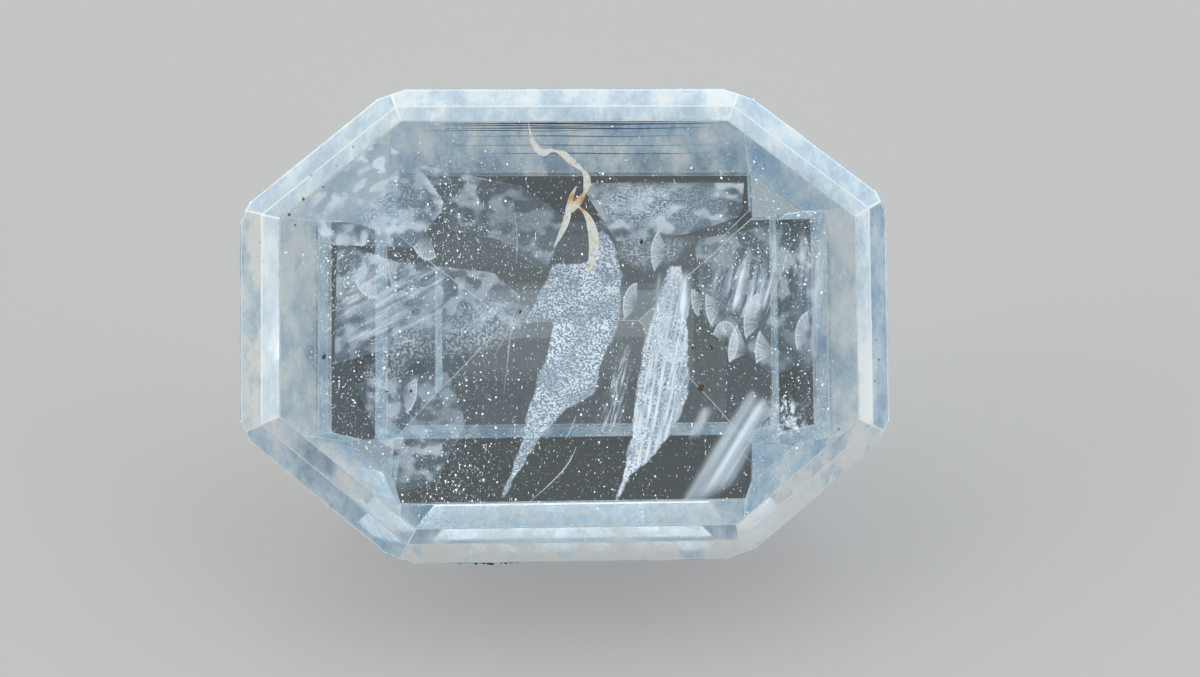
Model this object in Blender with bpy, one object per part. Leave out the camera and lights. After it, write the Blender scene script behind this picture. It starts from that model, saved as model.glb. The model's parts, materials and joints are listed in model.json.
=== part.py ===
"""A loose octagonal step-cut sapphire, lying on one facet of its pavilion.

The stone is cut the way a lapidary cuts it: from one block, one flat facet at a time.
It is first cut in its own frame, with the table level and up, its long axis along X and
the girdle's lower edge at height zero. It is then tipped forward and set down on the
pavilion facet that it balances on, so its table leans towards the front, which is -Y.
"""

import math
from collections import namedtuple

import bmesh
import bpy
from mathutils import Matrix, Vector

MM = 0.001

# Each of the eight sides of the outline, anticlockwise from the right end as seen from above.
# azimuth: where the side faces, in degrees. reach: from the stone's middle to the girdle, in mm.
# crown: the plan width of both crown steps together, in mm.
# belly: how far in from the girdle each pavilion tier ends, in mm, and
# depths: how far below the girdle's lower edge that is, in mm. The stone was cut by eye, so the
# tiers of neighbouring sides don't end level with one another.
# keel_slope: the slope of the last tier, which runs in to the keel, in degrees.
Side = namedtuple("Side", "name azimuth reach crown belly depths keel_slope")
SIDES = (
    Side("right end", 1.2, 5.98, 0.59, (1.07, 2.00, 3.15), (1.30, 2.25, 3.32), 40.2),
    Side("back right corner", 53.2, 5.47, 0.63, (1.09, 2.12, 3.20), (1.75, 3.19, 4.28), 40.2),
    Side("back", 90.3, 4.40, 0.61, (1.56, 2.71, 3.72), (1.80, 3.02, 4.02), 42.5),
    Side("back left corner", 129.1, 5.46, 0.62, (1.40, 2.40, 3.36), (2.16, 3.33, 4.32), 30.0),
    Side("left end", 180.2, 6.02, 0.77, (1.40, 2.45, 3.55), (1.59, 2.61, 3.55), 36.9),
    Side("front left corner", 230.7, 5.37, 0.74, (1.09, 2.16, 3.22), (2.10, 3.57, 4.33), 32.0),
    Side("front", 271.0, 4.36, 0.66, (1.07, 2.28, 3.50), (1.61, 2.92, 3.86), 35.5),
    Side("front right corner", 311.0, 5.43, 0.59, (0.92, 2.02, 3.12), (1.92, 3.53, 4.38), 30.0),
)

GIRDLE_THICKNESS = 0.20 * MM
CROWN_HEIGHT = 0.66 * MM
CROWN_STEP_SHARE = 0.54  # of the crown's width, taken by its outer step
CROWN_STEP_RISE = 0.66  # of the crown's height, taken by its outer step
KEEL_RUN = 1.0 * MM  # any length does: it only fixes the slope of the last tier's plane
RESTING_SIDE = "front"
RESTING_TIER = 2  # the third tier of the front side, counted from 0
FRONT_AZIMUTH = 270.0  # the front of the finished part is -Y

# The corners of the girdle are worn to small flats.
CORNER_FLAT = 0.10 * MM

BLOCK = Vector((14.0 * MM, 11.0 * MM, 12.0 * MM))  # the rough that the stone is cut from
WELD = 1e-7


def outward(azimuth):
    """The level direction that a side of this azimuth faces."""
    angle = math.radians(azimuth)
    return Vector((math.cos(angle), math.sin(angle), 0.0))


def cut(stone, point, normal):
    """Grinds away everything on the normal's side of a plane and leaves one flat facet there."""
    everything = stone.verts[:] + stone.edges[:] + stone.faces[:]
    ground = bmesh.ops.bisect_plane(
        stone, geom=everything, dist=WELD, plane_co=point, plane_no=normal, clear_outer=True
    )
    rim = [part for part in ground["geom_cut"] if isinstance(part, bmesh.types.BMEdge)]
    if rim:
        bmesh.ops.contextual_create(stone, geom=rim)


def cut_between(stone, side, inner, outer):
    """Cuts the facet of one side that runs between two level lines.

    inner and outer are (plan distance in from the girdle, height), both in metres.
    """
    facing = outward(side.azimuth)
    run = outer[0] - inner[0]
    rise = outer[1] - inner[1]
    point = facing * (side.reach * MM - outer[0]) + Vector((0.0, 0.0, outer[1]))
    slope = facing * -run + Vector((0.0, 0.0, rise))
    along = Vector((0.0, 0.0, 1.0)).cross(facing)
    normal = slope.cross(along)
    if normal.dot(facing) < 0:
        normal.negate()
    cut(stone, point, normal.normalized())


def rough_block():
    """The rough, large enough to hold the finished stone."""
    stone = bmesh.new()
    bmesh.ops.create_cube(stone, size=1.0, matrix=Matrix.Diagonal((*BLOCK, 1.0)))
    return stone


def cut_girdle(stone):
    """The upright band round the stone, with a small worn flat at each corner of it."""
    for side in SIDES:
        cut(stone, outward(side.azimuth) * side.reach * MM, outward(side.azimuth))
    for side, following in zip(SIDES, SIDES[1:] + SIDES[:1]):
        first, second = outward(side.azimuth), outward(following.azimuth)
        corner = meeting_point(side, following)
        between = (first + second).normalized()
        cut(stone, corner - between * CORNER_FLAT, between)


def meeting_point(side, following):
    """Where two neighbouring sides of the outline meet, at height zero."""
    first, second = outward(side.azimuth), outward(following.azimuth)
    turn = first.x * second.y - first.y * second.x
    x = (side.reach * second.y - following.reach * first.y) / turn
    y = (following.reach * first.x - side.reach * second.x) / turn
    return Vector((x * MM, y * MM, 0.0))


def cut_crown(stone):
    """The table and, all round it, an outer and an inner step."""
    bottom = GIRDLE_THICKNESS
    top = bottom + CROWN_HEIGHT
    step = bottom + CROWN_HEIGHT * CROWN_STEP_RISE
    cut(stone, Vector((0.0, 0.0, top)), Vector((0.0, 0.0, 1.0)))
    for side in SIDES:
        width = side.crown * MM
        at_step = (width * CROWN_STEP_SHARE, step)
        cut_between(stone, side, at_step, (0.0, bottom))
        cut_between(stone, side, (width, top), at_step)


def cut_pavilion(stone):
    """Three tiers below the girdle on each side, and a last one that runs in to the keel."""
    for side in SIDES:
        lines = [(0.0, 0.0)]
        lines += [(inset * MM, -depth * MM) for inset, depth in zip(side.belly, side.depths)]
        for outer, inner in zip(lines, lines[1:]):
            cut_between(stone, side, inner, outer)
        last_inset, last_height = lines[-1]
        drop_per_run = math.tan(math.radians(side.keel_slope))
        towards_keel = (last_inset + KEEL_RUN, last_height - KEEL_RUN * drop_per_run)
        cut_between(stone, side, towards_keel, lines[-1])


def resting_facet_angles():
    """The slope of the facet that the stone lies on, and how far it is turned from facing -Y."""
    side = next(side for side in SIDES if side.name == RESTING_SIDE)
    run = (side.belly[RESTING_TIER] - side.belly[RESTING_TIER - 1]) * MM
    rise = (side.depths[RESTING_TIER] - side.depths[RESTING_TIER - 1]) * MM
    return math.atan2(rise, run), math.radians(side.azimuth - FRONT_AZIMUTH)


def set_down(stone):
    """Tips the stone forward onto its resting facet and puts its box's lowest middle at the origin."""
    slope, skew = resting_facet_angles()
    square_up = Matrix.Rotation(-skew, 4, "Z")
    tip = Matrix.Rotation(slope, 4, "X")
    bmesh.ops.transform(stone, matrix=square_up.inverted() @ tip @ square_up, verts=stone.verts)
    low = Vector([min(v.co[axis] for v in stone.verts) for axis in range(3)])
    high = Vector([max(v.co[axis] for v in stone.verts) for axis in range(3)])
    middle = (low + high) / 2
    bmesh.ops.translate(stone, verts=stone.verts, vec=(-middle.x, -middle.y, -low.z))


def sapphire_material():
    """Pale blue, clear corundum."""
    material = bpy.data.materials.new("pale_sapphire")
    material.use_nodes = True
    shader = material.node_tree.nodes["Principled BSDF"]
    shader.inputs["Base Color"].default_value = (0.78, 0.88, 0.96, 1.0)
    shader.inputs["Roughness"].default_value = 0.02
    shader.inputs["Metallic"].default_value = 0.0
    shader.inputs["IOR"].default_value = 1.77
    shader.inputs["Transmission Weight"].default_value = 1.0
    return material


def main():
    for old in list(bpy.data.objects):
        bpy.data.objects.remove(old)
    stone = rough_block()
    cut_girdle(stone)
    cut_crown(stone)
    cut_pavilion(stone)
    set_down(stone)
    bmesh.ops.recalc_face_normals(stone, faces=stone.faces)
    mesh = bpy.data.meshes.new("sapphire")
    stone.to_mesh(mesh)
    stone.free()
    mesh.materials.append(sapphire_material())
    bpy.context.scene.collection.objects.link(bpy.data.objects.new("sapphire", mesh))


main()
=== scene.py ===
# %% [markdown]
# A cut sapphire, seen square on to its table.
#
# The stone is a step-cut octagon of nearly colourless sapphire, about 12 mm long. Light comes in
# through the top, is turned back by the flat facets underneath, and meets cracks, silk and
# crystals on its way. So the work here has two halves: one clear, closed body that bends light as
# real sapphire does, and the small things that lie inside it.
#
# The first cell loads the finished solid. Everything that follows is placed in its frame.

# %% Load the stone
import json
import math
import random

import bmesh
import bpy
from mathutils import Matrix, Vector
from mathutils.bvhtree import BVHTree


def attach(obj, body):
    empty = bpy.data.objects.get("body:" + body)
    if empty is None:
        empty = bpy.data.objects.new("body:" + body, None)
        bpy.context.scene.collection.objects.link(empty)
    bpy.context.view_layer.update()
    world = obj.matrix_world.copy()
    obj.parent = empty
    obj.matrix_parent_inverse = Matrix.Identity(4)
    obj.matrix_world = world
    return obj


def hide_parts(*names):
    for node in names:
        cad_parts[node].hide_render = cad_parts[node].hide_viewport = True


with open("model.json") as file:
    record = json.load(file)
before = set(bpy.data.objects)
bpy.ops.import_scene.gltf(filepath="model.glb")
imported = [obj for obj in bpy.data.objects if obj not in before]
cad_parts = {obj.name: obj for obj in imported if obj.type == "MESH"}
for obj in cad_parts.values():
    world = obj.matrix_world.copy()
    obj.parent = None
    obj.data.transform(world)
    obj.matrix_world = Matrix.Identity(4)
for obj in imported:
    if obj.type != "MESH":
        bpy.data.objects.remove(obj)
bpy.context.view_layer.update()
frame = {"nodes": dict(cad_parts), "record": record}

MM = 0.001
stone_solid = frame["nodes"]["sapphire"]

# %% [markdown]
# The stone lies on a facet of its pavilion, so its table leans towards the front. It is much
# easier to place things as a gemmologist maps them: so far to the right and so far up on the
# table, and so deep below it. The table's own direction comes from the record of the part.

# %% The stone's own directions
TABLE = next(mount for mount in frame["record"]["mounts"] if mount["name"] == "table_face")
OUT = Vector(TABLE["axis"]).normalized()
RIGHT = (Vector((1.0, 0.0, 0.0)) - OUT * OUT.x).normalized()
UP = OUT.cross(RIGHT)


def span(direction):
    """The lowest and highest place of the stone along a direction."""
    places = [vertex.co.dot(direction) for vertex in stone_solid.data.vertices]
    return min(places), max(places)


TABLE_MIDDLE = RIGHT * (sum(span(RIGHT)) / 2) + UP * (sum(span(UP)) / 2) + OUT * span(OUT)[1]
STONE_AXES = Matrix((RIGHT, UP, OUT)).transposed().to_4x4()


def inside(right, up, depth=0.0):
    """The point this many mm to the right, up and below the middle of the table."""
    return TABLE_MIDDLE + (RIGHT * right + UP * up - OUT * depth) * MM


def on_table(place):
    """How far right and up from the middle of the table a place is, in mm."""
    offset = place - TABLE_MIDDLE
    return offset.dot(RIGHT) / MM, offset.dot(UP) / MM


extents = [round((high - low) / MM, 2) for low, high in map(span, (RIGHT, UP, OUT))]
print("length, width, depth in mm", extents)

# %% [markdown]
# The camera looks straight down on the table through a long lens, as gem photographers do, so
# that the stone keeps its true outline. It is moved sideways, not turned, to leave the stone a
# little left of the middle.

# %% Camera
LENS = 180.0
SENSOR = 36.0
VIEW_WIDTH = 22.09  # mm that the picture spans at the table
STONE_OFFSET = (0.653, -0.230)  # mm from the stone's middle to the picture's

bpy.ops.object.camera_add(location=inside(*STONE_OFFSET) + OUT * (VIEW_WIDTH * MM * LENS / SENSOR))
camera = bpy.context.object
camera.name = "camera"
camera.data.lens = LENS
camera.data.sensor_width = SENSOR
camera.data.clip_start = 0.001
camera.rotation_euler = STONE_AXES.to_euler()
bpy.context.scene.camera = camera
print("camera is", round((camera.location - TABLE_MIDDLE).length / MM, 1), "mm away")

# %% [markdown]
# A gem shows the room around it. Its lower facets send the camera's line of sight back out through
# the top, some nearly straight back, some far to the side. The world is a photographer's tent
# that suits this: almost dark about the lens, brighter and brighter towards its sides. So the
# facets that look back at the lens are dark, the others grey, and only the rim sees full white.

# %% Light and floor
TENT_LIGHT = 2.7
TENT_BRIGHTNESS = (
    # degrees from the camera's line, share of the full light
    (0.0, 0.044),
    (14.0, 0.047),
    (26.0, 0.058),
    (38.0, 0.076),
    (50.0, 0.125),
    (62.0, 0.450),
    (78.0, 1.000),
)
WARM_SIDE = (0.98, 0.99, 0.92, 1.0)  # the tent's left
COOL_SIDE = (0.88, 0.96, 1.0, 1.0)  # the tent's right
SIDE_BLEND = 0.3  # how far from the middle of the tent the two colours blend
FLOOR_GAP = 0.02 * MM  # keeps the resting facet from sharing the floor's plane
FLOOR_GREY = (0.25, 0.25, 0.25, 1.0)
FLOOR_GLOW = 0.27  # the paper lies on a light table, which keeps the shadow soft
FLOOR_GLOW_COLOUR = (0.98, 0.99, 1.0, 1.0)


def add(tree, kind, values=None, **settings):
    """A new node with these settings, and with plain values on the inputs that values names."""
    node = tree.nodes.new(kind)
    for name, value in settings.items():
        setattr(node, name, value)
    for name, value in (values or {}).items():
        node.inputs[name].default_value = value
    return node


def new_material(name):
    """A new material, its node tree and the Principled shader in it."""
    material = bpy.data.materials.new(name)
    material.use_nodes = True
    tree = material.node_tree
    return material, tree, tree.nodes["Principled BSDF"]


def ramp(tree, stops):
    """A colour ramp. stops: (position, grey value or colour), from low to high."""
    node = add(tree, "ShaderNodeValToRGB")
    elements = node.color_ramp.elements
    elements.remove(elements[1])
    for number, (position, shade) in enumerate(stops):
        element = elements[0] if number == 0 else elements.new(position)
        element.position = position
        element.color = shade if isinstance(shade, tuple) else (shade, shade, shade, 1.0)
    return node


def build_tent():
    world = bpy.data.worlds.new("tent")
    bpy.context.scene.world = world
    world.use_nodes = True
    tree = world.node_tree
    link = tree.links.new
    background = tree.nodes["Background"]
    background.inputs["Strength"].default_value = TENT_LIGHT
    direction = add(tree, "ShaderNodeTexCoord")
    towards_lens = add(tree, "ShaderNodeVectorMath", {1: OUT}, operation="DOT_PRODUCT")
    stops = [(math.cos(math.radians(angle)), share) for angle, share in reversed(TENT_BRIGHTNESS)]
    shares = ramp(tree, stops)
    to_the_right = add(tree, "ShaderNodeVectorMath", {1: RIGHT}, operation="DOT_PRODUCT")
    side = add(tree, "ShaderNodeMapRange", {"From Min": -SIDE_BLEND, "From Max": SIDE_BLEND})
    tint = add(tree, "ShaderNodeMix", data_type="RGBA")
    tint.inputs[6].default_value = WARM_SIDE
    tint.inputs[7].default_value = COOL_SIDE
    colour = add(tree, "ShaderNodeMix", data_type="RGBA", blend_type="MULTIPLY")
    colour.inputs[0].default_value = 1.0
    link(direction.outputs["Generated"], towards_lens.inputs[0])
    link(direction.outputs["Generated"], to_the_right.inputs[0])
    link(towards_lens.outputs["Value"], shares.inputs["Fac"])
    link(to_the_right.outputs["Value"], side.inputs["Value"])
    link(side.outputs["Result"], tint.inputs[0])
    link(shares.outputs["Color"], colour.inputs[6])
    link(tint.outputs[2], colour.inputs[7])
    link(colour.outputs[2], background.inputs["Color"])


def softbox(name, place, size, power):
    """A square lamp at a place in mm, right, up and out from the table, turned to the stone."""
    where = inside(place[0], place[1], -place[2])
    bpy.ops.object.light_add(type="AREA", location=where)
    lamp = bpy.context.object
    lamp.name = name
    lamp.data.size = size * MM
    lamp.data.energy = power
    lamp.rotation_euler = (where - TABLE_MIDDLE).to_track_quat("Z", "Y").to_euler()


def build_floor():
    bpy.ops.mesh.primitive_plane_add(size=2.0, location=(0.0, 0.0, -FLOOR_GAP))
    floor = bpy.context.object
    floor.name = "floor"
    paper, _, shader = new_material("floor_paper")
    shader.inputs["Base Color"].default_value = FLOOR_GREY
    shader.inputs["Roughness"].default_value = 1.0
    shader.inputs["Specular IOR Level"].default_value = 0.1
    shader.inputs["Emission Color"].default_value = FLOOR_GLOW_COLOUR
    shader.inputs["Emission Strength"].default_value = FLOOR_GLOW
    floor.data.materials.append(paper)


build_tent()
build_floor()
softbox("left_softbox", (-260.0, 60.0, 90.0), 150.0, 0.14)
softbox("right_softbox", (260.0, -40.0, 90.0), 120.0, 0.20)
bpy.context.scene.view_settings.view_transform = "Standard"
bpy.context.scene.cycles.diffuse_bounces = 1
bpy.context.scene.cycles.max_bounces = 6
bpy.context.scene.cycles.transmission_bounces = 6
bpy.context.scene.cycles.transparent_max_bounces = 8

# %% [markdown]
# Every piece begins the same way: nothing selected, then one new object at its place.

# %% Helpers for editing


def deselect():
    for thing in bpy.context.selected_objects:
        thing.select_set(False)


def take(piece):
    """Makes this the only selected and the active object."""
    deselect()
    piece.select_set(True)
    bpy.context.view_layer.objects.active = piece


def copy_of_stone(name):
    """A copy of the solid with its loose triangles merged back into flat facets."""
    mesh = stone_solid.data.copy()
    mesh.name = name
    copy = bpy.data.objects.new(name, mesh)
    bpy.context.scene.collection.objects.link(copy)
    mesh.materials.clear()
    take(copy)
    bpy.ops.object.mode_set(mode="EDIT")
    bpy.ops.mesh.select_all(action="SELECT")
    bpy.ops.mesh.remove_doubles(threshold=0.002 * MM)
    bpy.ops.mesh.normals_make_consistent(inside=False)
    bpy.ops.mesh.dissolve_limited(angle_limit=math.radians(0.5))
    bpy.ops.mesh.faces_shade_flat()
    bpy.ops.object.mode_set(mode="OBJECT")
    return copy


# %% [markdown]
# Shader node groups hold what more than one finish uses.

# %% The stone's coordinates for materials
SECOND_SIGHT = 0.18  # share of an opacity that is left beyond the first mirror
CORNER_FACING = math.radians(51.0)  # where the cut corners face, from the stone's length
CORNER_REACH = 5.43  # mm from the middle of the stone to a cut corner


def new_group(name, inputs, outputs):
    """An empty shader group. inputs: (name, kind, default). outputs: (name, kind)."""
    group = bpy.data.node_groups.new(name, "ShaderNodeTree")
    for label, kind, default in inputs:
        socket = group.interface.new_socket(label, in_out="INPUT", socket_type=kind)
        socket.default_value = default
    for label, kind in outputs:
        group.interface.new_socket(label, in_out="OUTPUT", socket_type=kind)
    entry = group.nodes.new("NodeGroupInput")
    leave = group.nodes.new("NodeGroupOutput")
    return group, entry, leave


def place_group(tree, group, **values):
    """The group as a node, with its inputs set: edge_width=0.2 sets the input Edge Width."""
    node = tree.nodes.new("ShaderNodeGroup")
    node.node_tree = group
    for name, value in values.items():
        node.inputs[name.replace("_", " ").title()].default_value = value
    return node


def math_node(tree, operation, *inputs, clamp=False):
    """A Math node fed by sockets or plain numbers, and its output."""
    node = add(tree, "ShaderNodeMath", operation=operation, use_clamp=clamp)
    for position, source in enumerate(inputs):
        if isinstance(source, (int, float)):
            node.inputs[position].default_value = source
        else:
            tree.links.new(source, node.inputs[position])
    return node.outputs[0]


def first_sight(tree, opacity):
    """Dims an opacity where it is seen again in the mirrors that the lower facets are."""
    path = add(tree, "ShaderNodeLightPath")
    share = add(
        tree,
        "ShaderNodeMapRange",
        {"From Min": 1.0, "From Max": 2.0, "To Min": 1.0, "To Max": SECOND_SIGHT},
    )
    tree.links.new(path.outputs["Ray Depth"], share.inputs["Value"])
    return math_node(tree, "MULTIPLY", opacity, share.outputs["Result"])


def build_stone_place():
    """Gives each point its place in mm on the table, and how far inside the girdle it is."""
    group, _, leave = new_group(
        "stone_place",
        (),
        (("Place", "NodeSocketVector"), ("Rim Distance", "NodeSocketFloat")),
    )
    link = group.links.new
    coordinates = add(group, "ShaderNodeTexCoord")
    to_middle = add(group, "ShaderNodeVectorMath", {1: TABLE_MIDDLE}, operation="SUBTRACT")
    link(coordinates.outputs["Object"], to_middle.inputs[0])
    combine = add(group, "ShaderNodeCombineXYZ")
    sizes = []
    for position, direction in enumerate((RIGHT, UP, OUT)):
        along = add(group, "ShaderNodeVectorMath", {1: direction / MM}, operation="DOT_PRODUCT")
        link(to_middle.outputs[0], along.inputs[0])
        link(along.outputs["Value"], combine.inputs[position])
        sizes.append(math_node(group, "ABSOLUTE", along.outputs["Value"]))
    half_length = span(RIGHT)[1] / MM - TABLE_MIDDLE.dot(RIGHT) / MM
    half_width = span(UP)[1] / MM - TABLE_MIDDLE.dot(UP) / MM
    from_end = math_node(group, "SUBTRACT", half_length, sizes[0])
    from_side = math_node(group, "SUBTRACT", half_width, sizes[1])
    slant = math_node(
        group,
        "MULTIPLY_ADD",
        sizes[0],
        math.cos(CORNER_FACING),
        math_node(group, "MULTIPLY", sizes[1], math.sin(CORNER_FACING)),
    )
    from_corner = math_node(group, "SUBTRACT", CORNER_REACH, slant)
    from_straight = math_node(group, "MINIMUM", from_end, from_side)
    nearest = math_node(group, "MINIMUM", from_straight, from_corner)
    link(combine.outputs[0], leave.inputs["Place"])
    link(nearest, leave.inputs["Rim Distance"])
    return group


STONE_PLACE = build_stone_place()

# %% [markdown]
# The stone itself is one closed body of clear sapphire. It is a copy of the solid, so every
# facet keeps its place. No cut edge is quite sharp: polishing and years of wear leave a line a
# hundredth of a millimetre wide that glints. Bevel makes it. Faint polishing lines and smudges
# come from noise that is drawn out along the stone.

# %% Polished stone
EDGE_WEAR = 0.014 * MM
POLISH_LINE_DEPTH = 0.0002 * MM
ABSORBED_COLOUR = (0.60, 0.80, 0.93, 1.0)
ABSORPTION_DENSITY = 50.0
SAPPHIRE_IOR = 1.77


def sapphire_material():
    material, tree, shader = new_material("clear_sapphire")
    link = tree.links.new
    shader.inputs["Base Color"].default_value = (1.0, 1.0, 1.0, 1.0)
    shader.inputs["Transmission Weight"].default_value = 1.0
    shader.inputs["IOR"].default_value = SAPPHIRE_IOR
    place = place_group(tree, STONE_PLACE)
    smudges = add(tree, "ShaderNodeTexNoise", {"Scale": 0.8, "Detail": 2.0})
    link(place.outputs["Place"], smudges.inputs["Vector"])
    polish = add(tree, "ShaderNodeMapRange", {"From Min": 0.5, "From Max": 0.75, "To Max": 0.02})
    link(smudges.outputs["Fac"], polish.inputs["Value"])
    link(polish.outputs["Result"], shader.inputs["Roughness"])
    drawn = add(tree, "ShaderNodeMapping")
    drawn.inputs["Scale"].default_value = (0.6, 16.0, 16.0)
    drawn.inputs["Rotation"].default_value = (0.0, 0.0, 0.4)
    link(place.outputs["Place"], drawn.inputs["Vector"])
    lines = add(tree, "ShaderNodeTexNoise", {"Scale": 1.0, "Detail": 0.0})
    link(drawn.outputs["Vector"], lines.inputs["Vector"])
    relief = add(tree, "ShaderNodeBump", {"Strength": 0.15, "Distance": POLISH_LINE_DEPTH})
    link(lines.outputs["Fac"], relief.inputs["Height"])
    link(relief.outputs["Normal"], shader.inputs["Normal"])
    tint = add(
        tree,
        "ShaderNodeVolumeAbsorption",
        {"Color": ABSORBED_COLOUR, "Density": ABSORPTION_DENSITY},
    )
    link(tint.outputs["Volume"], tree.nodes["Material Output"].inputs["Volume"])
    return material


def build_stone():
    stone = copy_of_stone("polished_stone")
    bpy.ops.object.mode_set(mode="EDIT")
    bpy.ops.mesh.select_all(action="SELECT")
    bpy.ops.mesh.bevel(offset=EDGE_WEAR, segments=1, clamp_overlap=True)
    bpy.ops.mesh.select_all(action="SELECT")
    bpy.ops.mesh.remove_doubles(threshold=0.0005 * MM)
    bpy.ops.object.mode_set(mode="OBJECT")
    stone.data.materials.append(sapphire_material())
    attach(stone, "root")
    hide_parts("sapphire")
    print("facets", len(stone.data.polygons))


build_stone()

# %% [markdown]
# The rim of the stone is milky. Growth of the crystal trapped clouds of dust too fine to see,
# and they are thickest towards the girdle. A volume that scatters light would be slow and noisy
# inside glass. A skin just under the facets of the crown, the girdle and the first tier of the
# pavilion gives the same pale frame, and it ends at a facet's edge as crisply as in the stone.

# %% Milky zone
VEIL_INSET = 0.04 * MM
VEIL_REACH = 1.2 * MM  # facets that start deeper than this below the table have none
EDGE_GLINT_WIDTH = 0.014 * MM  # width of the painted glint along each edge of a facet
SHEET_THICKNESS = 0.008 * MM
VEIL_COLOUR = (0.94, 0.98, 0.985, 1.0)
VEIL_BLUE = (0.60, 0.77, 0.90, 1.0)
VEIL_DEEP_BLUE = (0.30, 0.49, 0.70, 1.0)
# Painted light: how strongly the milky zone glows in its own colour.
VEIL_PAINTED_GLOW = 0.22
WISP_DRIFT = -3.0  # how strongly the wisps push the milky zone in and out
FRONT_LIT_TONE = 0.62  # tone of a facet that faces the front of the stone, for both its milkiness and painted light
BACK_PAINTED_SHADE = 0.38  # how much darker and clearer one is that faces the back: painted shade
UNDERSIDE_PAINTED_LIGHT = 0.45  # and how much lighter and milkier one is there, if it is under the girdle: painted light
TONE_SPREAD = (-0.22, 0.30)  # how far a single facet strays from that
EDGE_PAINTED_GLINT = 1.4  # tone of the painted glint along an edge


def milky_material():
    material, tree, shader = new_material("milky_zone")
    link = tree.links.new
    shader.inputs["Roughness"].default_value = 0.8
    shader.inputs["Specular IOR Level"].default_value = 0.0
    place = place_group(tree, STONE_PLACE)
    facet = add(tree, "ShaderNodeAttribute", attribute_name="facet_shade_and_tone")
    wisp_place = add(tree, "ShaderNodeMapping")
    wisp_place.inputs["Scale"].default_value = (1.5, 0.8, 0.8)
    wisp_place.inputs["Rotation"].default_value = (0.0, 0.0, 0.25)
    link(place.outputs["Place"], wisp_place.inputs["Vector"])
    wisps = add(tree, "ShaderNodeTexNoise", {"Scale": 1.0, "Detail": 4.0, "Roughness": 0.68})
    link(wisp_place.outputs["Vector"], wisps.inputs["Vector"])
    cloud = math_node(tree, "SUBTRACT", wisps.outputs["Fac"], 0.5)
    shifted = math_node(tree, "MULTIPLY_ADD", cloud, WISP_DRIFT, place.outputs["Rim Distance"])
    fade = add(
        tree,
        "ShaderNodeMapRange",
        {"From Min": 0.0, "From Max": 1.7, "To Min": 0.92, "To Max": 0.22},
    )
    link(shifted, fade.inputs["Value"])
    # The facet value sets how milky and how pale a facet is: part random tone, part painted shade by
    # the way the facet faces, and a painted glint on the edge strips.
    by_facet = math_node(tree, "MULTIPLY_ADD", facet.outputs["Fac"], 0.45, 0.66)
    thick = math_node(tree, "MULTIPLY", fade.outputs["Result"], by_facet, clamp=True)
    link(thick, shader.inputs["Alpha"])
    tone = math_node(tree, "SUBTRACT", facet.outputs["Fac"], 0.5)
    blend = math_node(tree, "MULTIPLY_ADD", tone, 0.42, wisps.outputs["Fac"])
    colour = ramp(tree, ((0.28, VEIL_DEEP_BLUE), (0.46, VEIL_BLUE), (0.64, VEIL_COLOUR)))
    link(blend, colour.inputs["Fac"])
    link(colour.outputs["Color"], shader.inputs["Base Color"])
    # Painted light: the milky zone glows in its own colour, though it is no lamp.
    link(colour.outputs["Color"], shader.inputs["Emission Color"])
    shader.inputs["Emission Strength"].default_value = VEIL_PAINTED_GLOW
    return material


def select_faces(piece, wanted):
    """In edit mode, selects the faces for which wanted(face) is true, and says how many."""
    bpy.ops.mesh.select_mode(type="FACE")
    bpy.ops.mesh.select_all(action="DESELECT")
    edit = bmesh.from_edit_mesh(piece.data)
    for face in edit.faces:
        face.select_set(bool(wanted(face)))
    bmesh.update_edit_mesh(piece.data)
    return sum(face.select for face in edit.faces)


def build_milky_zone():
    veil = copy_of_stone("milky_zone")
    bpy.ops.object.mode_set(mode="EDIT")
    bpy.ops.mesh.select_all(action="SELECT")
    bpy.ops.transform.shrink_fatten(value=-VEIL_INSET, use_even_offset=True)
    select_faces(veil, lambda face: face.normal.dot(OUT) > 0.999)
    bpy.ops.mesh.delete(type="FACE")
    deep = TABLE_MIDDLE.dot(OUT) - VEIL_REACH
    opened = select_faces(veil, lambda face: max(v.co.dot(OUT) for v in face.verts) < deep)
    bpy.ops.mesh.delete(type="FACE")
    bpy.ops.mesh.select_all(action="SELECT")
    # The inset leaves a thin strip along every edge of a facet, and that strip gets a painted glint.
    bpy.ops.mesh.inset(thickness=EDGE_GLINT_WIDTH, use_individual=True)
    bpy.ops.object.mode_set(mode="OBJECT")
    dice = random.Random(8)
    tones = []
    # Painted shade: a facet that faces the back is made darker and clearer, and one that faces the
    # front lighter and milkier. One under the girdle at the back is made lighter again. Only
    # TONE_SPREAD is random tone.
    for face in veil.data.polygons:
        faces_back = 0.5 + 0.5 * face.normal.dot(UP)
        tone = FRONT_LIT_TONE - BACK_PAINTED_SHADE * faces_back
        if face.normal.dot(OUT) < -0.2:
            tone += UNDERSIDE_PAINTED_LIGHT * faces_back * faces_back
        tone += dice.uniform(*TONE_SPREAD)
        tones.append(min(1.0, max(0.0, tone)) if face.select else EDGE_PAINTED_GLINT)
    veil.data.attributes.new("facet_shade_and_tone", "FLOAT", "FACE").data.foreach_set("value", tones)
    thickness = veil.modifiers.new("thickness", "SOLIDIFY")
    thickness.thickness = SHEET_THICKNESS
    thickness.offset = -1.0
    bpy.ops.object.modifier_apply(modifier=thickness.name)
    print("milky zone opened by", opened, "facets")
    veil.data.materials.append(milky_material())
    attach(veil, "root")


build_milky_zone()

# %% [markdown]
# Cracks that healed while the crystal still grew are called feathers. Each is one thin, gently
# curved sheet. They are all made the same way: a fine grid is laid on the table, trimmed to the
# feather's outline, sunk into the stone to a share of the depth there, and given a hair's
# thickness. Its distance from the outline is kept on every point, so that the finish can thin
# out towards the edge.

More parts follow.
